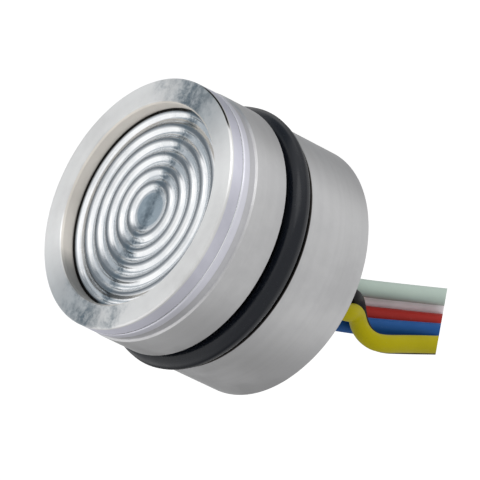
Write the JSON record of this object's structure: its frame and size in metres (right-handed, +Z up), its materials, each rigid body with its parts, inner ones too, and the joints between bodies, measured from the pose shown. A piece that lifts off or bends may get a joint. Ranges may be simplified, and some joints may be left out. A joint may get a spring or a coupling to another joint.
{
  "type": "pressure sensor capsule of a pressure transmitter",
  "caption": "Turned stainless pressure sensor capsule with a corrugated front diaphragm, a seal ring in a side groove and flying leads out of its back.",
  "frame": {"origin": "on the capsule's axis, at the middle of the rear seating land", "axes": "+Y along the capsule's axis towards the leads, so the diaphragm faces -Y; +Z up as the picture shows it"},
  "size_m": [0.02, 0.03, 0.02],
  "materials": {
    "turned_steel": "fine turned, matt",
    "ring_steel": "fine turned, satin, heat-tinted by the weld",
    "foil_steel": "bright pressed foil",
    "seal_rubber": "smooth black moulded",
    "header_steel": "machined",
    "seal_glass": "dark fused glass",
    "gold_plate": "gold plated",
    "ball_steel": "polished ball",
    "pedestal_glass": "clear, sawn sides",
    "silicon": "polished wafer",
    "white_ceramic": "fired, unglazed",
    "board_laminate": "green solder mask",
    "solder": "bright tin solder",
    "resistor_body": "glazed black",
    "silicone_grey": "satin silicone",
    "silicone_white": "satin silicone",
    "silicone_red": "satin silicone",
    "silicone_blue": "satin silicone",
    "silicone_black": "satin silicone",
    "silicone_yellow": "satin silicone",
    "tinned_copper": "tinned strands"
  },
  "bodies": {
    "root": {"sensor_body": "turned_steel", "weld_ring": "ring_steel", "diaphragm": "foil_steel", "seal_ring": "seal_rubber", "header": "header_steel", "glass_seals": "seal_glass", "header_pins": "gold_plate", "fill_ball": "ball_steel", "glass_pedestal": "pedestal_glass", "sensing_chip": "silicon", "ceramic_filler": "white_ceramic", "bond_wires": "gold_plate", "circuit_board": "board_laminate", "pin_solder": "solder", "lead_solder": "solder", "resistor_chips": "resistor_body", "resistor_terminals": "solder", "lead_grey": "silicone_grey", "lead_white": "silicone_white", "lead_red": "silicone_red", "lead_blue": "silicone_blue", "lead_black": "silicone_black", "lead_yellow": "silicone_yellow", "conductor_grey": "tinned_copper", "conductor_white": "tinned_copper", "conductor_red": "tinned_copper", "conductor_blue": "tinned_copper", "conductor_black": "tinned_copper", "conductor_yellow": "tinned_copper"}
  },
  "joints": []
}
